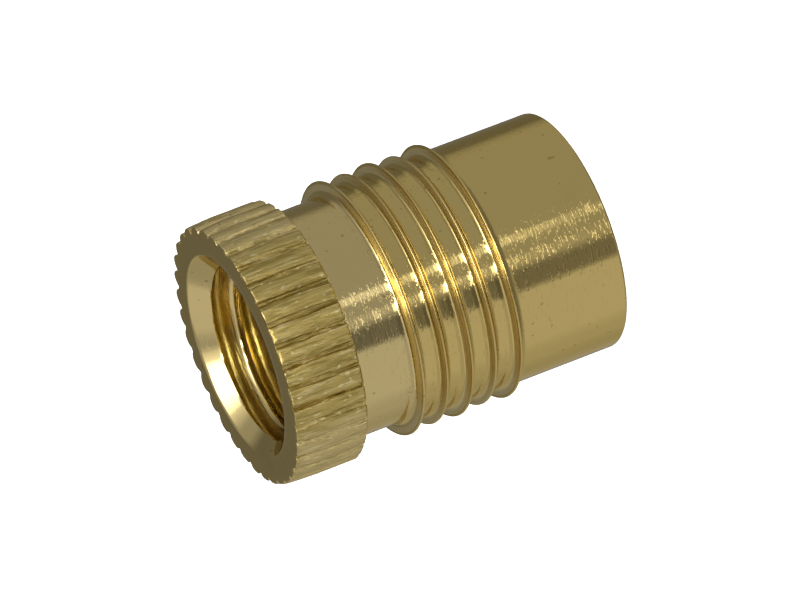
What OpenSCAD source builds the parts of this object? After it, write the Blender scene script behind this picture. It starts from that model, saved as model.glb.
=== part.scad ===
// Press-in threaded insert, turned from brass bar in one piece.
// Stands on its plain rear end at z = 0, with the knurled head on top.
// All sizes in millimetres.

/* [Body] */
// Length from the plain rear end to the face of the head
insert_length = 18; // [16:0.5:24]
// Diameter of the plain rear barrel
barrel_d = 12; // [11.8:0.1:12.4]
// Diameter of the neck between the head and the ribs
neck_d = 11.45; // [11.2:0.05:11.7]
// Edge break on the outer corner of the rear end
rear_edge_break = 0.12; // [0.05:0.01:0.4]
// Radius left by the tool in the corner under the head
head_fillet_r = 0.15; // [0.05:0.05:0.3]

/* [Knurled head] */
// Diameter over the tips of the teeth
head_d = 13.25; // [13:0.05:13.6]
// Length of the head along the insert
head_length = 3.7; // [3:0.05:4.2]
// Number of straight teeth round the head
tooth_count = 36; // [30:1:40]
// Radius of the shallow curve across the back of one tooth
tooth_crown_r = 0.8; // [0.7:0.05:2]
// Depth of the notch between two teeth
notch_depth = 0.33; // [0.2:0.01:0.45]
// Width of the notch on its flat floor
notch_floor_w = 0.18; // [0.1:0.01:0.25]
// Width of the notch where its flanks would reach the tips
notch_mouth_w = 0.42; // [0.3:0.01:0.5]
// Edge break on the ends of the teeth
tooth_edge_break = 0.11; // [0.05:0.01:0.2]

/* [Gripping ribs] */
// Distance from one rib to the next
rib_pitch = 1.31; // [1.1:0.01:1.4]
// Distance from the face of the head to the middle of the first rib
first_rib_depth = 6.78; // [5.8:0.02:7.5]
// Diameter of the first, third and fifth rib
tall_rib_d = 12.9; // [12.5:0.05:13.2]
// Diameter of the second and fourth rib
low_rib_d = 12.72; // [12.4:0.02:13]
// Diameter of the grooves between the ribs
groove_d = 11.7; // [11.5:0.05:11.9]
// Distance from the middle of a rib to the foot of its steep side, which faces the head
rib_steep_w = 0.18; // [0.12:0.01:0.3]
// Distance from the middle of a rib to the foot of its easy slope, which enters the hole first
rib_slope_w = 0.3; // [0.15:0.01:0.5]
// Thickness of a rib at its rounded crest
rib_crest_w = 0.18; // [0.1:0.02:0.28]

/* [Threaded bore] */
// Inner diameter of the M10 x 1.5 thread, over its crests
thread_minor_d = 8.4; // [8.38:0.02:8.67]
// Diameter of the countersink in the face of the head
front_sink_d = 10.25; // [10:0.05:10.6]
// Diameter of the countersink in the rear end
rear_sink_d = 10.1; // [10:0.05:10.6]

/* [Hidden] */

RIB_COUNT = 5;
ARC_STEP = 30;           // degrees between the points of a small arc
OVERLAP = 1;             // how far joined solids reach into each other
TOOTH_ROOT = 0.15;       // how far a tooth reaches into the core
ROUND_FN = 180;          // facets shown on a full turn
TOOTH_FN = 64;           // facets shown on a full turn of a tooth's back
BRASS = "#b5984f";

barrel_r = barrel_d / 2;
neck_r = neck_d / 2;
groove_r = groove_d / 2;
head_r = head_d / 2;
bore_r = thread_minor_d / 2;
crest_r = rib_crest_w / 2;
head_z = insert_length - head_length;
notch_r = head_r - notch_depth;

// Height of a rib's middle above the rear end; rib 0 is the one nearest the head.
function rib_z(i) = insert_length - first_rib_depth - i * rib_pitch;

// Ribs stand tall and low by turns, as the form tool leaves them.
function rib_r(i) = (i % 2 == 0 ? tall_rib_d : low_rib_d) / 2;

// What a rib stands on: the barrel below the last rib, the neck above the first.
function land_below(i) = i == RIB_COUNT - 1 ? barrel_r : groove_r;
function land_above(i) = i == 0 ? neck_r : groove_r;

// Section of one rib, from the foot of its easy slope over the round crest to its steep side.
function rib_section(i) = concat(
    [[land_below(i), rib_z(i) - rib_slope_w]],
    [for (a = [-90 : ARC_STEP : 90])
        [rib_r(i) - crest_r + crest_r * cos(a), rib_z(i) + crest_r * sin(a)]],
    [[land_above(i), rib_z(i) + rib_steep_w]]
);

// Outline of everything turned with the lathe, from the rear end up into the head.
function turned_section() = concat(
    [[0, 0], [barrel_r - rear_edge_break, 0], [barrel_r, rear_edge_break]],
    [for (i = [RIB_COUNT - 1 : -1 : 0]) each rib_section(i)],
    [for (a = [180 : -ARC_STEP : 90])
        [neck_r + head_fillet_r + head_fillet_r * cos(a), head_z - head_fillet_r + head_fillet_r * sin(a)]],
    [[neck_r + head_fillet_r, head_z + OVERLAP], [0, head_z + OVERLAP]]
);

module turned_body() {
    color(BRASS)
        rotate_extrude($fn = ROUND_FN)
            polygon(turned_section());
}

// Width of a notch at radius r, which grows evenly from its floor to its mouth.
function notch_w(r) = notch_floor_w + (notch_mouth_w - notch_floor_w) * (r - notch_r) / notch_depth;

// Point on the flank of the tooth that is centred on +X; side is 1 or -1.
function flank_point(r, side) =
    let (a = side * (180 / tooth_count - asin(notch_w(r) / 2 / r)))
    [r * cos(a), r * sin(a)];

// Flat outline of one tooth: two straight flanks under a shallow round back.
module tooth() {
    root_r = notch_r - TOOTH_ROOT;
    intersection() {
        polygon([flank_point(root_r, -1), flank_point(head_r, -1), flank_point(head_r, 1), flank_point(root_r, 1)]);
        translate([head_r - tooth_crown_r, 0]) circle(r = tooth_crown_r, $fn = TOOTH_FN);
    }
}

// Flat outline of the knurl: teeth side by side on a round core, which is the floor of the notches.
module knurl_outline() {
    circle(r = notch_r, $fn = ROUND_FN);
    for (i = [0 : tooth_count - 1])
        rotate(i * 360 / tooth_count) tooth();
}

// Blank that takes the sharp corners off both ends of the teeth.
module head_blank() {
    reach = head_r + OVERLAP;
    rise = tooth_edge_break + OVERLAP;
    rotate_extrude($fn = ROUND_FN)
        polygon([
            [0, 0], [head_r - tooth_edge_break, 0], [reach, rise],
            [reach, head_length - rise], [head_r - tooth_edge_break, head_length], [0, head_length]
        ]);
}

module knurled_head() {
    color(BRASS)
        translate([0, 0, head_z])
            intersection() {
                linear_extrude(head_length) knurl_outline();
                head_blank();
            }
}

// 45 degree countersink that opens upwards at z = 0.
module countersink(d) {
    depth = d / 2 - bore_r;
    translate([0, 0, -depth])
        cylinder(r1 = bore_r, r2 = d / 2 + OVERLAP, h = depth + OVERLAP, $fn = ROUND_FN);
}

module threaded_bore() {
    translate([0, 0, -OVERLAP])
        cylinder(r = bore_r, h = insert_length + 2 * OVERLAP, $fn = ROUND_FN);
    translate([0, 0, insert_length]) countersink(front_sink_d);
    mirror([0, 0, 1]) countersink(rear_sink_d);
}

module insert_body() {
    difference() {
        union() {
            turned_body();
            knurled_head();
        }
        threaded_bore();
    }
}

insert_body();
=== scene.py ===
# %% [markdown]
# # A press-in threaded insert, turned from brass bar
#
# The insert is one piece of metal: a knurled head, a polished neck, five thin
# ribs that grip the hole, a plain barrel, and an M10 thread right through.
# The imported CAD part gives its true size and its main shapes. Here it gets
# the thread, the worn edges and the finish that only show from close up.
# Every length in this file is in millimetres until it goes into a mesh.

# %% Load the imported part
import math

import bpy
import numpy as np
from mathutils import Matrix, Vector


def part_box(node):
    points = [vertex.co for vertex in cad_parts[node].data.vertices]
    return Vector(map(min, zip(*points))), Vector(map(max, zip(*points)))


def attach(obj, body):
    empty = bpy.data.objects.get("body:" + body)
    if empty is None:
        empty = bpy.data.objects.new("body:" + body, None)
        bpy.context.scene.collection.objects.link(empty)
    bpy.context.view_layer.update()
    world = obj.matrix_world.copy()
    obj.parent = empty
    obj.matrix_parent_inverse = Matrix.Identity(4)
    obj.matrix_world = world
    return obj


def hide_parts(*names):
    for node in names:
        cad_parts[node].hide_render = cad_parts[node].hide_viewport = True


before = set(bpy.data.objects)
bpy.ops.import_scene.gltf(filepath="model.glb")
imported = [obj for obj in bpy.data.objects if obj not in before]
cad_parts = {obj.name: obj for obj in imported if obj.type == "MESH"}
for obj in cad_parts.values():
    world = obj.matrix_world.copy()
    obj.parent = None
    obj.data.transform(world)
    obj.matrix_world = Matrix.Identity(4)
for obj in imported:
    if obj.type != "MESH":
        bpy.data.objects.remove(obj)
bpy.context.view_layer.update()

node_low, node_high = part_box("insert_body")
MM = 0.001
LENGTH = (node_high.z - node_low.z) / MM
HEAD_R = 6.625           # over the backs of the teeth
print(f"insert {LENGTH:.2f} mm long, {2 * HEAD_R:.2f} mm over the knurl")

# %% [markdown]
# ## The section of the turned body
#
# A lathe part is a flat outline spun round its axis. The outline could be a
# bevelled curve or a Screw modifier, but here it is a plain array of
# (radius, height) points, because the head, the ribs and the thread each need
# their own control of the radius. Small arcs stand for the rounding that the
# tool leaves, and they are what catches the light on a machined edge.

# %% Sizes of the turned body
BARREL_R = 6.0
NECK_R = 5.725
GROOVE_R = 5.85          # between the ribs
HEAD_LENGTH = 3.7
HEAD_Z = LENGTH - HEAD_LENGTH
HEAD_FILLET_R = 0.15     # in the corner under the head
EDGE_BREAK = 0.12        # on the rear end
EDGE_POINTS = 4          # on each of these two arcs
STEP = 0.02              # a short straight step beside each bend keeps the shading of the straight part true
print(f"neck {2 * NECK_R:.2f} mm, barrel {2 * BARREL_R:.2f} mm, head from {HEAD_Z:.2f} mm up")


# %% Arcs and fillets
def arc(r, z, radius, start, end, count):
    """Points on a circle round (r, z): radius times the cosine and sine of each angle from start to end."""
    turn = np.radians(np.linspace(start, end, count))
    return np.column_stack([r + radius * np.cos(turn), z + radius * np.sin(turn)])


def fillet(corner, before, after, reach, count):
    """A smooth bend in place of a corner: the quadratic curve from reach before it to reach after it."""
    corner, before, after = map(np.asarray, (corner, before, after))
    start = corner + (before - corner) * reach / np.linalg.norm(before - corner)
    end = corner + (after - corner) * reach / np.linalg.norm(after - corner)
    t = np.linspace(0, 1, count)[:, None]
    return (1 - t) ** 2 * start + 2 * t * (1 - t) * corner + t ** 2 * end


print("a fillet of 3 points:", fillet((0, 0), (1, 0), (0, 1), 1, 3).round(2).tolist())

# %% [markdown]
# ### The ribs
#
# The ribs bite into the wall of the hole and hold the insert there. Their
# steep side faces the head and their easy side goes in first. Each is a round
# crest between two flanks, and a soft bend leads each flank into the metal
# beside it, as the rounded corner of the tool leaves it. They could be five
# copies of one shape, but tools cut unevenly, so each has its own height.

# %% Outline of one rib
RIB_R = [6.47, 6.38, 6.46, 6.35, 6.465]     # rib 0 is the one nearest the head
FIRST_RIB_DEPTH = 6.78   # below the face of the head
RIB_PITCH = 1.31
RIB_Z = [LENGTH - FIRST_RIB_DEPTH - i * RIB_PITCH for i in range(len(RIB_R))]
RIB_CREST_R = 0.06
CREST_TURN = 80          # degrees of the crest's arc, each way from its tip
EASY_POINTS, CREST_POINTS, STEEP_POINTS = 7, 8, 6
STEEP_ROOT = 0.12        # how far the steep flank's foot lies from the middle of the rib
STEEP_BENDS = [0.3, 0.26, 0.34, 0.28, 0.32]
EASY_ROOT = 0.17         # the same on the easy side
EASY_BEND = 0.33


def rib_outline(i):
    """One rib from below: a straight step, a fillet, a flank, a round crest, and the same in reverse."""
    below = BARREL_R if i == len(RIB_Z) - 1 else GROOVE_R
    above = NECK_R if i == 0 else GROOVE_R
    z, crest = RIB_Z[i], RIB_R[i] - RIB_CREST_R
    easy_foot, steep_foot = (below, z - EASY_ROOT), (above, z + STEEP_ROOT)
    return np.vstack([
        [(below, z - EASY_ROOT - EASY_BEND - STEP)],
        fillet(easy_foot, (below, z - 1), (crest, z - RIB_CREST_R), EASY_BEND, EASY_POINTS),
        arc(crest, z, RIB_CREST_R, -CREST_TURN, CREST_TURN, CREST_POINTS),
        fillet(steep_foot, (crest, z + RIB_CREST_R), (above, z + 1), STEEP_BENDS[i], STEEP_POINTS),
        [(above, z + STEEP_ROOT + STEEP_BENDS[i] + STEP)],
    ])


print(f"{len(RIB_Z)} ribs, {len(rib_outline(0))} points each")

# %% Outline from the rear end up to the head
rear_edge = arc(BARREL_R - EDGE_BREAK, EDGE_BREAK, EDGE_BREAK, -90, 0, EDGE_POINTS)
ribs = [rib_outline(i) for i in reversed(range(len(RIB_Z)))]
head_corner = arc(NECK_R + HEAD_FILLET_R, HEAD_Z - HEAD_FILLET_R, HEAD_FILLET_R, 180, 90, EDGE_POINTS)
turned = np.vstack([
    rear_edge, [[BARREL_R, EDGE_BREAK + STEP]], *ribs,
    [[NECK_R, HEAD_Z - HEAD_FILLET_R - STEP]], head_corner,
])
print(f"the turned outline has {len(turned)} points")

# %% [markdown]
# ## The knurl
#
# A straight knurl is a row of rounded teeth pressed or cut along the head.
# Across one tooth the radius falls from a round back to a narrow notch on each
# side. Teeth could be 36 copies of one solid, but this knurl runs out of true:
# the spacing drifts round the head, and the notches are deeper on one side.
# So the whole head is one surface, with its columns crowded round each notch,
# where the shape bends most.

# %% Angles of the columns
TEETH = 36
TOOTH_PLACES = np.array([0, 0.08, 0.11, 0.14, 0.2, 0.32, 0.5, 0.68, 0.8, 0.86, 0.89, 0.92])
COLUMNS = TEETH * len(TOOTH_PLACES)
FIRST_NOTCH = math.radians(-90.9)
DRIFT = math.radians(3.7)            # furthest that a tooth is from its even place
DRIFT_PHASE = math.radians(151.5)    # where the teeth are pushed forward most

tooth_of_column = np.repeat(np.arange(TEETH), len(TOOTH_PLACES))
place_in_tooth = np.tile(TOOTH_PLACES, TEETH)
even_angle = FIRST_NOTCH + (tooth_of_column + place_in_tooth) * 2 * math.pi / TEETH
ANGLES = even_angle + DRIFT * np.cos(even_angle - DRIFT_PHASE)
print(f"{TEETH} teeth, {COLUMNS} columns round the insert")

# %% Height, depth and wear of each tooth
SHALLOW, DEEP = 0.16, 0.42           # depth of a notch on the two sides of the head
DEEP_SIDE = DRIFT_PHASE - math.pi / 2
FRONT_BREAK = 0.09                   # how much the front end of a tooth is worn down
chance = np.random.default_rng(11)

deep = 0.5 + 0.5 * np.cos(ANGLES - DEEP_SIDE)
tooth_height = chance.uniform(-0.03, 0.02, TEETH)
notch_depth = (SHALLOW + (DEEP - SHALLOW) * deep) * chance.uniform(0.85, 1.15, TEETH)[tooth_of_column]
tilt = chance.uniform(-0.03, 0.03, TEETH)
wear_share = 1 - 0.9 * deep ** 2     # the deep side has hardly any wear
front_break = FRONT_BREAK * wear_share * chance.uniform(0.3, 1.3, TEETH)[tooth_of_column]
print(f"notches {notch_depth.min():.2f} to {notch_depth.max():.2f} mm deep")

# %% [markdown]
# ### From one tooth to the whole head
#
# Two outlines of a tooth are given as drops from its tip to the notch: a flat
# back for the shallow side and a round back for the deep one. Every column
# blends them by its side of the head. A knurl rolled under pressure is never
# straight, so the notches wander a little as they run along the head, and the
# front ends of the teeth, which meet every blow, are worn round.

# %% Rows of the knurl
FLAT_DROPS = np.array([1, 0.98, 0.55, 0.16, 0.06, 0.01, 0, 0.01, 0.06, 0.16, 0.55, 0.98])
ROUND_DROPS = np.array([1, 0.92, 0.8, 0.66, 0.42, 0.16, 0, 0.16, 0.42, 0.66, 0.8, 0.92])
SWAY, SHAKE = 0.02, 0.006            # slow and quick wander of a notch, as shares of a tooth
SWAY_PER_MM, SWAY_PER_TOOTH = 1.7, 2.1      # in radians
FRONT_WEAR = 0.22                    # how far back from the face the wear reaches
TAPER, TAPER_LENGTH = 0.09, 1.8      # the head is a little smaller towards its face
TOOTH_BREAK = 0.1                    # at the back end of a tooth


def tooth_drop(place):
    """From 0 on the back to 1 in the notch: the flat drop times (1 - deep) plus the round drop times deep."""
    flat, full = (np.interp(place, np.append(TOOTH_PLACES, 1.0), np.append(drops, 1.0))
                  for drops in (FLAT_DROPS, ROUND_DROPS))
    return flat * (1 - deep) + full * deep


def knurl_rows(heights):
    """Radius at each height and column: the tooth's tip, less its drop times the notch's depth, less the
    taper and the round wear at the front, and never past the 45 degree edge break at the back."""
    z = np.asarray(heights)[:, None]
    sway = np.sin(z * SWAY_PER_MM + tooth_of_column * SWAY_PER_TOOTH)
    shift = SWAY * sway + SHAKE * chance.standard_normal((len(z), COLUMNS))
    place = np.mod(place_in_tooth + shift, 1.0)
    tip = HEAD_R + tooth_height[tooth_of_column] + tilt[tooth_of_column] * (place - 0.5)
    taper = TAPER * np.maximum(1 - (LENGTH - z) / TAPER_LENGTH, 0) ** 2
    near_face = np.maximum(1 - (LENGTH - z) / FRONT_WEAR, 0)
    worn = front_break * np.sin(math.pi * place_in_tooth) ** 2 * (1 - np.sqrt(1 - near_face ** 2))
    r = tip - tooth_drop(place) * notch_depth - taper - worn
    return np.minimum(r, HEAD_R - TOOTH_BREAK + (z - HEAD_Z))


KNURL_Z = np.concatenate([
    HEAD_Z + np.array([0, 0.05, 0.1, 0.15]),
    np.linspace(HEAD_Z + 0.25, LENGTH - 0.28, 24),
    LENGTH - np.array([0.18, 0.12, 0.07, 0.035, 0.012, 0]),
])
knurl = knurl_rows(KNURL_Z)
print(f"{len(knurl)} rows, radius {knurl.min():.2f} to {knurl.max():.2f} mm")

# %% [markdown]
# ## The thread
#
# A screw thread is one groove wound round the bore. It could be a profile
# swept along a helix and cut out with a Boolean, but that leaves long thin
# faces. Here the radius of the bore is worked out from how far across the
# groove a point lies. Both countersinks are cones, and where a cone is wider
# than the thread, the cone wins. Behind the front one the groove starts
# shallow and deepens over a short run, as a tap leaves it.

# %% Radius of the bore at any angle and height
PITCH = 1.5
MINOR_R = 4.2
MAJOR_R = 5.0
FRONT_SINK_R = 5.125
REAR_SINK_R = 5.05
CREST_DEPTH = 1.97       # below the head face, where the first crest meets the +Y side
RUN_IN_START, RUN_IN_LENGTH = 0.5, 0.45     # below the head face
THREAD_PLACES = np.array([0, 0.06, 0.1, 0.13, 0.25, 0.36, 0.4, 0.45, 0.5])      # from a crest, in pitches
THREAD_DEPTHS = np.array([0, 0.004, 0.02, 0.07, 0.44, 0.8, 0.89, 0.96, 0.98])   # as shares of the full depth


def rise(angle):
    """How far the thread has climbed at an angle: one pitch for each full turn from the +Y side."""
    return PITCH * (angle - math.pi / 2) / (2 * math.pi)


def thread_radius(angle, z):
    """A flat crest, a straight flank and a rounded root, by the distance to the nearest crest in pitches."""
    phase = np.mod((z - (LENGTH - CREST_DEPTH + rise(angle))) / PITCH, 1.0)
    away = np.minimum(phase, 1 - phase)
    return np.interp(away, THREAD_PLACES, MINOR_R + (MAJOR_R - MINOR_R) * THREAD_DEPTHS)


def bore_radius(angle, z):
    """The widest of three: the thread, which deepens behind the face, and the two 45 degree countersinks."""
    front = FRONT_SINK_R - (LENGTH - z)
    rear = REAR_SINK_R - z
    run_in = np.clip((LENGTH - z - RUN_IN_START) / RUN_IN_LENGTH, 0, 1)
    thread = MINOR_R + (thread_radius(angle, z) - MINOR_R) * run_in
    return np.maximum(thread, np.maximum(front, rear))


print(f"bore radius half way down: {bore_radius(np.linspace(0, 6, 7), LENGTH / 2).round(2).tolist()}")

# %% [markdown]
# ## One closed surface
#
# The whole insert is one skin with no seam: up the outside, over the head,
# down the bore and back to the start. It could be two meshes joined with a
# Boolean, but one skin has no stray faces and stays smooth where its parts
# meet. The head has twice as many columns as the rest, so a ring of triangles
# at each of its ends steps from one count to the other.

# %% Rows of the outside
LIP = 0.015              # width of the soft edge between an end face and its countersink
REAR_RING_R = 5.5        # a ring on the rear face, between the countersink and the barrel
BACK_RING_R = NECK_R + 0.2      # a ring on the back of the head, just outside the fillet
BODY_ANGLES = ANGLES[::2]


def level_rows(radii, heights, angles):
    """Points on level circles: each row has one height, and a radius for every column."""
    return radii * np.cos(angles), radii * np.sin(angles), np.broadcast_to(heights, radii.shape)


def blend_rows(start, end, shares):
    """Rows between two circles: each radius is a share of the way from the first to the second."""
    shares = np.array(shares)[:, None]
    return start * (1 - shares) + end * shares


body_r = np.concatenate([[REAR_SINK_R + LIP, REAR_RING_R], turned[:, 0]])[:, None] * np.ones(len(BODY_ANGLES))
body_z = np.concatenate([[0, 0], turned[:, 1]])[:, None]
head_back = blend_rows(BACK_RING_R, knurl[:1], [0.0, 0.35, 0.7])
head_face = blend_rows(knurl[-1:], FRONT_SINK_R + LIP, [0.3, 0.7, 1.0])
head_r = np.vstack([head_back, knurl, head_face])
head_z = np.concatenate([[HEAD_Z] * len(head_back), KNURL_Z, [LENGTH] * len(head_face)])[:, None]
print(f"{len(body_r)} rows on the body and {len(head_r)} on the head")

# %% [markdown]
# ### Rows that climb with the thread
#
# If the bore had level rows, the groove would cross them at a slant and its
# edges would turn into saw teeth. So the rows here climb with the thread: each
# row keeps one place across the groove all the way round, and after a full
# turn it joins the row one pitch further on. Level rows carry the two cones.

# %% Rows of the bore
FRONT_ROWS_Z = LENGTH - np.concatenate([[LIP], np.linspace(0.08, 1.1, 21)])
REAR_ROWS_Z = np.concatenate([np.linspace(1.0, 0.1, 10), [LIP]])
LINES = np.concatenate([THREAD_PLACES, 1 - THREAD_PLACES[-2:0:-1]])     # both halves of one pitch
SPARE_TURNS = 3          # past each end, so that the slanted rows cover the whole bore


def climbing_rows():
    """Height of every thread line at every column, and at one more, which is the first one a turn later."""
    turns = np.arange(-SPARE_TURNS, int(LENGTH / PITCH) + SPARE_TURNS)
    start = LENGTH - CREST_DEPTH - (turns[:, None] - LINES[None, :]).ravel() * PITCH
    start = np.sort(start)[::-1]
    angles = np.append(BODY_ANGLES, BODY_ANGLES[0] + 2 * math.pi)
    return start[:, None] + rise(angles[None, :]), angles


line_z, line_angles = climbing_rows()
print(f"{len(FRONT_ROWS_Z)} front rows, {len(REAR_ROWS_Z)} rear rows and {len(line_z)} climbing lines")

# %% [markdown]
# ### From rows to triangles
#
# Rows of points turn into faces when each row is joined to the next. The small
# class below does this for whole arrays at once, and it also has the ring that
# steps from many columns to half as many.


# %% Points and triangles of the skin
class Skin:
    """Collects points and triangles; every method works on whole arrays."""

    def __init__(self):
        self.points, self.triangles, self.count = [], [], 0

    def add(self, x, y, z):
        """Stores points of any shape and gives back their numbers in the same shape."""
        self.points.append(np.stack(np.broadcast_arrays(x, y, z), -1).reshape(-1, 3))
        numbers = np.arange(self.count, self.count + np.size(x)).reshape(np.shape(x))
        self.count += np.size(x)
        return numbers

    def cells(self, a, b, c, d):
        """Two triangles for each four-sided cell; those that have shrunk to a line are left out."""
        both = np.stack([np.stack([a, b, c], -1), np.stack([a, c, d], -1)]).reshape(-1, 3)
        thin = (both[:, 0] == both[:, 1]) | (both[:, 1] == both[:, 2]) | (both[:, 2] == both[:, 0])
        self.triangles.append(both[~thin])

    def rows(self, numbers):
        """Joins each row to the next one, all the way round."""
        following = np.roll(numbers, -1, axis=1)
        self.cells(numbers[:-1], following[:-1], following[1:], numbers[1:])

    def step(self, fine, coarse, flip):
        """Joins a ring to one with half as many points: three triangles for each coarse edge."""
        a, b, c = fine[::2], fine[1::2], np.roll(fine[::2], -1)
        d, e = coarse, np.roll(coarse, -1)
        fans = np.concatenate([np.stack(t, -1) for t in ((a, b, d), (b, e, d), (b, c, e))])
        self.triangles.append(fans[:, ::-1] if flip else fans)


skin = Skin()
body = skin.add(*level_rows(body_r, body_z, BODY_ANGLES))
head = skin.add(*level_rows(head_r, head_z, ANGLES))
skin.rows(body)
skin.rows(head)
skin.step(head[0], body[-1], flip=True)
print(f"{skin.count} points on the outside")


# %% Level rows of the bore
def bore_rows(heights):
    """Level rows of the bore, with the thread and the cones in their radius."""
    z = np.asarray(heights)[:, None]
    return skin.add(*level_rows(bore_radius(BODY_ANGLES[None, :], z), z, BODY_ANGLES))


front_bore = bore_rows(FRONT_ROWS_Z)
rear_bore = bore_rows(REAR_ROWS_Z)
skin.step(head[-1], front_bore[0], flip=False)
skin.rows(front_bore)
skin.rows(np.vstack([rear_bore, body[:1]]))
print(f"{skin.count} points with the two cones")

# %% Climbing rows of the bore, from the last front row to the first rear row
top, bottom = FRONT_ROWS_Z[-1], REAR_ROWS_Z[0]
keep = ((line_z < top) & (line_z > bottom))[:, :-1]
grid_angles = np.broadcast_to(line_angles[:-1], keep.shape)[keep]
grid_z = line_z[:, :-1][keep]
grid_r = bore_radius(grid_angles, grid_z)

numbers = np.full(line_z.shape, -1)
numbers[:, :-1][keep] = skin.add(grid_r * np.cos(grid_angles), grid_r * np.sin(grid_angles), grid_z)
numbers[len(LINES):, -1] = numbers[:-len(LINES), 0]
numbers = np.where(line_z >= top, np.append(front_bore[-1], front_bore[-1][0]), numbers)
numbers = np.where(line_z <= bottom, np.append(rear_bore[0], rear_bore[0][0]), numbers)
skin.cells(numbers[:-1, :-1], numbers[:-1, 1:], numbers[1:, 1:], numbers[1:, :-1])

points = np.concatenate(skin.points)
triangles = np.concatenate(skin.triangles)
print(f"{len(points)} points, {len(triangles)} triangles")

# %% [markdown]
# ### A mesh from arrays
#
# foreach_set copies whole arrays into a Blender mesh. A closed skin has a
# volume, and its sign tells whether the faces look outwards. An edge that
# doesn't belong to exactly two faces is open, and there should be none.
# Edges bent by more than 35 degrees stay sharp, and all others are smooth.

# %% Put the arrays into a mesh
SHARP_FROM = math.radians(35)


def mesh_from(name, points, triangles):
    """A closed mesh in metres. Its volume is a sixth of the sum, over the faces, of one corner dotted with
    the cross product of the other two, and the faces are turned round if that is negative."""
    corner = points[triangles]
    volume = np.einsum("ij,ij->i", corner[:, 0], np.cross(corner[:, 1], corner[:, 2])).sum() / 6
    if volume < 0:
        triangles = triangles[:, ::-1]
    edges = np.sort(triangles[:, [0, 1, 1, 2, 2, 0]].reshape(-1, 2), axis=1)
    uses = np.unique(edges, axis=0, return_counts=True)[1]
    print(f"{name}: {abs(volume):.1f} mm3, {np.count_nonzero(uses != 2)} open edges")
    mesh = bpy.data.meshes.new(name)
    mesh.vertices.add(len(points))
    mesh.vertices.foreach_set("co", (points * MM).ravel())
    mesh.loops.add(triangles.size)
    mesh.loops.foreach_set("vertex_index", triangles.ravel())
    mesh.polygons.add(len(triangles))
    mesh.polygons.foreach_set("loop_start", np.arange(0, triangles.size, 3))
    mesh.polygons.foreach_set("use_smooth", np.ones(len(triangles), bool))
    mesh.update()
    mesh.validate()
    mesh.set_sharp_from_angle(angle=SHARP_FROM)
    return mesh


insert = bpy.data.objects.new("turned_insert", mesh_from("turned_insert", points, triangles))
bpy.context.scene.collection.objects.link(insert)
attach(insert, "root")
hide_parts("insert_body")

# %% [markdown]
# ## Shader maths in plain Python
#
# A material is a graph of nodes, which is slow to read as code. This small
# class wraps one output socket, so that `mask * 0.5 + noise` adds the two Math
# nodes by itself. Any other node comes from `add_node`, which takes its
# settings first and then its inputs, by name or by number.


# %% Socket wrapper
class Value:
    """One output of a node tree that can be used in arithmetic."""

    def __init__(self, tree, socket):
        self.tree, self.socket = tree, socket

    def maths(self, operation, *others):
        """Adds one Math node, with this value first and the others after it."""
        given = dict(enumerate((self, *others)))
        return add_node(self.tree, "ShaderNodeMath", {"operation": operation}, given)

    def __add__(self, other): return self.maths("ADD", other)
    def __radd__(self, other): return self.maths("ADD", other)
    def __sub__(self, other): return self.maths("SUBTRACT", other)
    def __rsub__(self, other): return (self * -1) + other
    def __mul__(self, other): return self.maths("MULTIPLY", other)
    def __rmul__(self, other): return self.maths("MULTIPLY", other)


def add_node(tree, kind, settings=None, inputs=None, output=0):
    """Adds any node: sets its settings, then links each input to a Value or sets it to a number or colour."""
    made = tree.nodes.new(kind)
    for name, setting in (settings or {}).items():
        setattr(made, name, setting)
    for name, given in (inputs or {}).items():
        if isinstance(given, Value):
            tree.links.new(given.socket, made.inputs[name])
        else:
            made.inputs[name].default_value = given
    return Value(tree, made.outputs[output]) if made.outputs else None


def empty_tree(owner):
    """The node tree of a material or a world, with nothing in it."""
    owner.use_nodes = True
    owner.node_tree.nodes.clear()
    return owner.node_tree


print("sums and products of sockets now add Math nodes")


# %% Nodes that are used again and again
def split_xyz(place):
    """The x, y and z of a vector, as three values."""
    node = add_node(place.tree, "ShaderNodeSeparateXYZ", None, {"Vector": place}).socket.node
    return [Value(place.tree, socket) for socket in node.outputs]


def smooth(value, start, end):
    """Goes from 0 to 1 in an S curve while value goes from start to end."""
    return add_node(value.tree, "ShaderNodeMapRange", {"interpolation_type": "SMOOTHSTEP"},
                    {"Value": value, "From Min": start, "From Max": end, "To Min": 0.0, "To Max": 1.0})


def span(value, low, high, soft):
    """1 between low and high and 0 outside, with edges as wide as soft."""
    return smooth(value, low - soft / 2, low + soft / 2) * smooth(value, high + soft / 2, high - soft / 2)


def mix_colour(share, first, second):
    """Blends two colours: first times (1 - share) plus second times share."""
    given = {0: share, 6: first, 7: second}      # a Mix node has its colours in sockets 6 and 7, and out of 2
    return add_node(share.tree, "ShaderNodeMix", {"data_type": "RGBA"}, given, output=2)


print("smooth and span make masks, and mix_colour uses them")

# %% [markdown]
# ## Brass
#
# Bare brass is a metal with a yellow reflection. What the eye reads as
# "turned" is not the colour but thousands of fine grooves round the axis:
# they break a lamp's reflection into bright dashes. They could be modelled, or
# painted in a picture. Here they are noise that is stretched round the insert
# and changes quickly along it, so they stay sharp from any distance. The knurl
# has the same thing lying along its teeth, and it is rougher.

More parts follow.
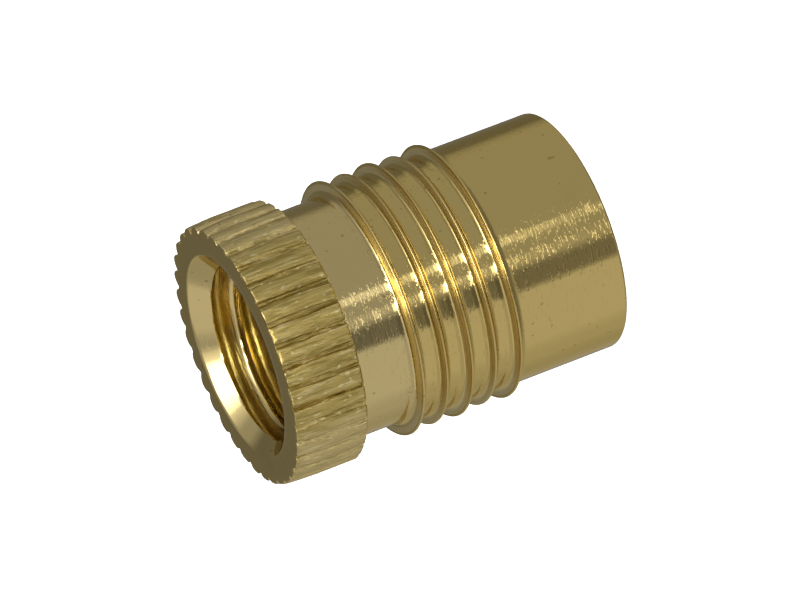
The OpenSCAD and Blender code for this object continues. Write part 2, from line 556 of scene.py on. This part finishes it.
# %% Tones of the metal
BRASS = (0.58, 0.458, 0.205, 1)
BARREL_BRASS = (0.56, 0.425, 0.155, 1)
FLANK_SHEEN_BRASS = (0.64, 0.54, 0.30, 1)       # duller and lighter, on the flanks of the ribs: painted light, for the sheen of light bounced between a flank and the land beside it
THREAD_BOUNCE_GOLD = (0.62, 0.47, 0.13, 1)    # deeper gold in the groove: painted light, for the light bounced round inside the bore
KNURL_BRASS = (0.49, 0.37, 0.12, 1)     # darker and yellower, on the knurl except on its two sides that face along x
PAINTED_GLINT_BRASS = (0.85, 0.74, 0.42, 1)     # painted highlights: a light tone on the high lines and small specks of the knurl, for glints
DIRT_AND_SHADE_BRASS = (0.24, 0.185, 0.045, 1)   # painted shade in the low lines and notches of the knurl, and real dirt in stains and spots
EDGE_TINT = (0.92, 0.84, 0.62, 1)       # keeps the yellow where the metal is seen at a flat angle

brass = bpy.data.materials.new("turned_brass")
tree = empty_tree(brass)
x, y, z = (part * (1 / MM) for part in split_xyz(add_node(tree, "ShaderNodeTexCoord", output="Object")))
out_r = (x * x + y * y).maths("SQRT")
print("x, y, z and the distance from the axis are values in millimetres")


# %% Noise in millimetres
def noise(across, along, detail=2.0, rough=0.5):
    """Smooth random values from about -1 to 1: noise at x and y times across and z times along, less its
    mean of 0.5, times 3. So it changes across or along times in a millimetre."""
    place = add_node(tree, "ShaderNodeCombineXYZ", None, {"X": x * across, "Y": y * across, "Z": z * along})
    grain = add_node(tree, "ShaderNodeTexNoise", None,
                     {"Vector": place, "Scale": 1.0, "Detail": detail, "Roughness": rough})
    return (grain - 0.5) * 3


print("noise is stretched by how often it changes across and along")

# %% [markdown]
# ### Where each finish lies
#
# The insert is one mesh with one material, so masks tell its regions apart.
# Each mask is 1 inside its region and 0 outside, and it follows from the
# height above the rear end and the distance from the axis.

# %% Masks
OUTSIDE_R = 5.2          # between the countersinks and the outside
HEAD_FROM_R = 5.6
NECK_END = 11.2          # height where the neck's tone goes over into the barrel's
RIBS_LOW, RIBS_HIGH = 5.75, 11.45
RIB_TIP_R = 6.32         # from here out a rib is worn bright
THREAD_TOP = LENGTH - 0.7       # the oily tone of the groove starts here

on_outside = smooth(out_r, OUTSIDE_R, OUTSIDE_R + 0.1)
in_bore = smooth(out_r, OUTSIDE_R, OUTSIDE_R - 0.05)
above_neck, below_face = smooth(z, HEAD_Z - 0.02, HEAD_Z + 0.02), smooth(z, LENGTH, LENGTH - 0.02)
in_head = above_neck * smooth(out_r, HEAD_FROM_R, HEAD_FROM_R + 0.15) * below_face
behind_neck = smooth(z, NECK_END + 0.2, NECK_END - 0.2) * on_outside
in_groove = smooth(out_r, MINOR_R + 0.1, MINOR_R + 0.35) * smooth(z, THREAD_TOP, THREAD_TOP - 0.08) * in_bore
among_ribs = smooth(z, RIBS_LOW - 0.03, RIBS_LOW + 0.03) * smooth(z, RIBS_HIGH + 0.05, RIBS_HIGH - 0.05)
by_rib = smooth(out_r, GROOVE_R + 0.02, GROOVE_R + 0.12) * among_ribs
on_rib = smooth(out_r, GROOVE_R + 0.09, GROOVE_R + 0.19) * among_ribs
on_flank = on_rib * smooth(out_r, RIB_TIP_R + 0.04, RIB_TIP_R - 0.04)
print(f"{len(tree.nodes)} nodes for the masks")

# %% [markdown]
# ### Marks of the lathe
#
# The tool leaves one fine groove for each turn of the bar, and the groove's
# depth changes from place to place. Between them lie chatter and a few deeper
# scores. In the thread the tap leaves fine lines that run round the bore.
# A picture could hold all this, but then it would need a seam somewhere.

# %% Height of the turned surface
FEED = 0.14              # distance between two turning marks
FEED_HEIGHT, CHATTER_HEIGHT = 0.0006, 0.0003
SCORE_DEPTH = 0.005
TAP_HEIGHT = 0.006

depth = smooth(noise(across=0.7, along=7.0), 0.0, 0.7) + 0.15
wobble = noise(across=0.25, along=0.4) * 0.8
across_mark = (z * (1 / FEED) + wobble).maths("FRACT") - 0.5
feed_marks = across_mark * across_mark * 4 * depth
chatter = noise(across=2.5, along=7.0, detail=1.0)
scores = smooth(noise(across=2.2, along=9.0, rough=0.6), 0.1, 0.7)
tap_marks = noise(across=0.6, along=40.0, detail=1.0)

marked = (1 - in_bore * 0.7) * (1 - by_rib * 0.9)
turned_height = (feed_marks * FEED_HEIGHT + chatter * CHATTER_HEIGHT - scores * SCORE_DEPTH) * marked
turned_height = turned_height + tap_marks * in_groove * TAP_HEIGHT
print(f"{len(tree.nodes)} nodes with the marks of the lathe")

# %% [markdown]
# ### Lines, painted shade and painted highlights on the knurl
#
# The knurling wheel tears fine lines along the teeth. The low lines and the
# notches are darkened with painted shade, and the high lines and a few small
# specks are lightened with painted highlights. On the two sides that face
# along x the knurl has a paler tone, and the painted shade there is half as strong.
# The lines follow the teeth, so the noise changes quickly across and slowly
# along, the other way round from the marks of the lathe.

# %% Height, painted shade and painted highlights of the knurl
LINE_HEIGHT, PIT_HEIGHT = 0.026, 0.006

lines = noise(across=6.0, along=0.5, detail=3.0, rough=0.65)
pits = noise(across=8.0, along=4.0, rough=0.6)
knurl_height = lines * LINE_HEIGHT + pits * PIT_HEIGHT

# 1 on the two sides of the head that face along x
x_sides = smooth(x.maths("ABSOLUTE"), 3.9, 5.2)
in_notch = smooth(out_r, HEAD_R - 0.1, HEAD_R - 0.2)
# painted shade: darker in the low lines and the notches of the knurl, half as strong on the sides that face
# along x
knurl_painted_shade = in_head * (smooth(lines, 0.0, -0.35) * 0.6 + in_notch * 0.1) * (1 - x_sides * 0.5)
specks = smooth(noise(across=5.0, along=2.5, detail=0.0), 0.66, 0.84)
# painted highlights: lighter on the high lines and in small specks of the knurl
painted_glints = in_head * (specks * 0.5 + smooth(lines, 0.15, 0.5) * 0.35)
print(f"{len(tree.nodes)} nodes with the knurl")

# %% [markdown]
# ### One brass for the whole insert
#
# The masks blend the tones, the roughness and the heights. The heights go
# through a Bump node, because marks of a few thousandths of a millimetre would
# need millions of faces. Everything that changes feeds only the base colour,
# the roughness and the normal, which can all be baked into pictures later.

# %% Colour over the surface
stains = smooth(noise(across=0.5, along=0.5, detail=3.0, rough=0.6), 0.2, 1.2)
spots = smooth(noise(across=3.0, along=3.0, detail=0.0), 0.9, 0.96)
colour = mix_colour(behind_neck, BRASS, BARREL_BRASS)
colour = mix_colour(stains * 0.15 + spots * 0.5, colour, DIRT_AND_SHADE_BRASS)
# painted light: a paler tone on the rib flanks stands in for light bounced between the ribs
colour = mix_colour(on_flank, colour, FLANK_SHEEN_BRASS)
# painted light: a deeper gold in the thread's groove stands in for light bounced round inside the bore
colour = mix_colour(in_groove, colour, THREAD_BOUNCE_GOLD)
colour = mix_colour(in_head * (1 - x_sides), colour, KNURL_BRASS)
# painted shade in the low lines and notches of the knurl
colour = mix_colour(knurl_painted_shade, colour, DIRT_AND_SHADE_BRASS)
# painted highlights on the high lines and specks of the knurl
colour = mix_colour(painted_glints, colour, PAINTED_GLINT_BRASS)
print(f"{len(tree.nodes)} nodes with the colours")

# %% Roughness, height and the finished material
POLISHED = 0.07          # each region adds its own roughness to this
rough = POLISHED + in_head * 0.23 + in_groove * 0.17 + on_rib * 0.15 + on_flank * 0.14
height = turned_height * (1 - in_head) + knurl_height * in_head
bump = add_node(tree, "ShaderNodeBump", None, {"Strength": 1.0, "Distance": MM, "Height": height})
metal = add_node(tree, "ShaderNodeBsdfPrincipled", None, {
    "Base Color": colour, "Roughness": rough, "Normal": bump, "Metallic": 1.0, "Specular Tint": EDGE_TINT,
})
add_node(tree, "ShaderNodeOutputMaterial", None, {"Surface": metal})
insert.data.materials.append(brass)
print(f"{len(tree.nodes)} nodes in the finished brass")

# %% [markdown]
# ## Camera
#
# The insert stands on its rear end, but it is seen from the side and a little
# from above its head, with the camera turned on its own axis, so that it
# lies slantwise across the picture. The lens is long, which keeps both ends
# nearly the same size. The camera could be aimed with a Track To constraint,
# but three directions at right angles give its turn exactly.

# %% Place the camera
TILT = math.radians(18.66)        # how far the camera looks down on the head
SLANT = math.radians(20.871)      # how far the axis rises to the right in the picture
DISTANCE = 373.6
LENS, SENSOR = 351.0, 36.0
AIM = Vector((-0.276, 0.0, 9.257))

look = Vector((0, math.cos(TILT), -math.sin(TILT)))
axis_right = Vector((0, -math.sin(TILT), -math.cos(TILT)))
axis_up = Vector((1, 0, 0))
right = math.cos(SLANT) * axis_right - math.sin(SLANT) * axis_up
up = math.sin(SLANT) * axis_right + math.cos(SLANT) * axis_up

camera = bpy.data.objects.new("camera", bpy.data.cameras.new("camera"))
bpy.context.scene.collection.objects.link(camera)
camera.data.lens, camera.data.sensor_width = LENS, SENSOR
camera.data.clip_start, camera.data.clip_end = 0.01, 10.0
turn = Matrix((right, up, -look)).transposed()
camera.matrix_world = Matrix.Translation((AIM - look * DISTANCE) * MM) @ turn.to_4x4()
bpy.context.scene.camera = camera
print(f"camera {DISTANCE:.0f} mm away with a {LENS:.0f} mm lens")

# %% [markdown]
# ## The room that the metal reflects
#
# Polished metal has hardly any look of its own: it shows the room. The room
# could be built from walls and lamps, or come from a picture, but here the
# world works it out: a plain grey, and over it soft-edged panels that are each
# a span of bearings and of elevations. A bright card stands on one side, a
# narrow dark gap next to the camera, a dark curtain behind, and two upright
# lamps near the camera draw the bright lines on the barrel. The camera itself
# sees only white.

# %% Panels of the room
ROOM = 0.5               # level of the bare walls
LEFT_LAMP, RIGHT_LAMP = (-10.4, 3.8, 1.4), (9.8, 3.8, 1.4)      # bearing, half width and soft edge

# Each panel is its middle bearing, half width and soft edge, its lowest and highest elevation and soft edge,
# all in degrees, and its brightness. Bearing 0 is the camera's side. A later panel covers an earlier one.
PANELS = [
    (0, 180, 1, -90, -52, 16, 0.28),            # dark table far below
    (-67, 60, 24, 10, 30, 12, 0.36),            # dim side of the room
    (85, 42, 18, -34, 30, 14, 0.60),            # white card on the other side
    (68, 34, 24, -34, -4, 10, 0.73),            # its lit lower part
    (27, 10, 6, -34, 34, 12, 0.27),             # dark gap between the card and the camera
    (27, 10, 6, -18.4, 34, 0.3, 0.17),          # its darker upper part
    (-160, 34, 18, -34, 38, 24, 0.21),          # dark curtain behind
    (-60, 42, 20, 34, 56, 10, 0.85),            # bright top of the wall
    (72, 56, 20, 34, 66, 10, 0.80),
    (-34, 60, 50, 52, 80, 14, 1.8),             # large soft lamp overhead
    (-50, 34, 36, 57, 76, 6, 4.6),              # its bright middle
    (*LEFT_LAMP, -19.9, -17, 0.8, 0.75),        # foot of the left lamp
    (*LEFT_LAMP, -19.5, -18.8, 0.3, 1.6),       # lower bulbs
    (*RIGHT_LAMP, -19.35, -18.85, 0.2, 1.3),
    (*LEFT_LAMP, -50, -23, 3, 1.2),             # light of the lamps on the table
    (*RIGHT_LAMP, -50, -23, 3, 1.2),
    (*LEFT_LAMP, -17.6, 60, 0.5, 2.6),          # the lamps
    (*RIGHT_LAMP, -16.6, 60, 0.5, 2.6),
    (*LEFT_LAMP, 24, 60, 8, 14.0),              # their bright upper parts
    (*RIGHT_LAMP, 24, 60, 8, 14.0),
]
print(f"{len(PANELS)} panels")

# %% World with the panels
world = bpy.data.worlds.new("studio")
bpy.context.scene.world = world
sky = empty_tree(world)
sky_x, sky_y, sky_z = split_xyz(add_node(sky, "ShaderNodeTexCoord", output="Generated"))
bearing = (sky_x * -1).maths("ARCTAN2", sky_y * -1) * (180 / math.pi)
elevation = sky_z.maths("ARCSINE") * (180 / math.pi)
brightness = elevation * 0 + ROOM
for middle, half, soft, lowest, highest, soft_rise, level in PANELS:
    off = (bearing - middle).maths("WRAP", 180, -180).maths("ABSOLUTE")
    mask = smooth(off, half + soft / 2, half - soft / 2) * span(elevation, lowest, highest, soft_rise)
    brightness = brightness * (1 - mask) + mask * level

seen = add_node(sky, "ShaderNodeLightPath", output="Is Camera Ray")
shade = brightness * (1 - seen) + seen
tint = add_node(sky, "ShaderNodeCombineColor", None, {"Red": shade, "Green": shade, "Blue": shade})
background = add_node(sky, "ShaderNodeBackground", None, {"Color": tint})
add_node(sky, "ShaderNodeOutputWorld", None, {"Surface": background})
print(f"{len(sky.nodes)} nodes in the world")

# %% [markdown]
# ## Floor
#
# The insert stands on a white floor, which keeps its shadow. Only the camera
# sees the floor: its material is clear to every other ray, so that the metal
# reflects the dark table of the room and not a sheet of white. It could be a
# shadow catcher, but a plain plane with a little glow reads as paper.

# %% White floor
FLOOR_SIZE = 6.0         # in metres
FLOOR_WHITE = (0.8, 0.8, 0.8, 1)
FLOOR_GLOW = 0.75

bpy.ops.mesh.primitive_plane_add(size=FLOOR_SIZE, location=(0, 0, 0))
floor = bpy.context.object
floor.name = "floor"
paper = bpy.data.materials.new("white_floor")
tree = empty_tree(paper)
lit = add_node(tree, "ShaderNodeAddShader", None, {
    0: add_node(tree, "ShaderNodeBsdfDiffuse", None, {"Color": FLOOR_WHITE}),
    1: add_node(tree, "ShaderNodeEmission", None, {"Strength": FLOOR_GLOW}),
})
clear = add_node(tree, "ShaderNodeBsdfTransparent")
seen = add_node(tree, "ShaderNodeLightPath", output="Is Camera Ray")
shown = add_node(tree, "ShaderNodeMixShader", None, {0: seen, 1: clear, 2: lit})
add_node(tree, "ShaderNodeOutputMaterial", None, {"Surface": shown})
floor.data.materials.append(paper)
print(f"floor {FLOOR_SIZE:.0f} m wide")

# %% [markdown]
# ## Lamp
#
# One real lamp, a square above the insert, adds a highlight and the shadow on
# the floor. The rest of the light comes from the room. A sun or a small spot
# would draw a hard shadow, and a wide square draws a soft one.

# %% Overhead lamp
LAMP_BEARING, LAMP_ELEVATION = math.radians(-35), math.radians(66)
LAMP_DISTANCE, LAMP_SIZE = 600, 260
LAMP_POWER = 0.5

away = Vector((
    -math.sin(LAMP_BEARING) * math.cos(LAMP_ELEVATION),
    -math.cos(LAMP_BEARING) * math.cos(LAMP_ELEVATION),
    math.sin(LAMP_ELEVATION),
))
softbox = bpy.data.lights.new("overhead_softbox", "AREA")
softbox.size, softbox.energy = LAMP_SIZE * MM, LAMP_POWER
lamp = bpy.data.objects.new("overhead_softbox", softbox)
lamp.location = (Vector((0, 0, LENGTH / 2)) + away * LAMP_DISTANCE) * MM
lamp.rotation_mode = "QUATERNION"
lamp.rotation_quaternion = away.to_track_quat("Z", "Y")
bpy.context.scene.collection.objects.link(lamp)
print("lamp at", [round(v / MM) for v in lamp.location], "mm")

# %% [markdown]
# ## Colour view
#
# The Standard view shows colours as they are written.

# %% Use the Standard view
bpy.context.scene.view_settings.view_transform = "Standard"
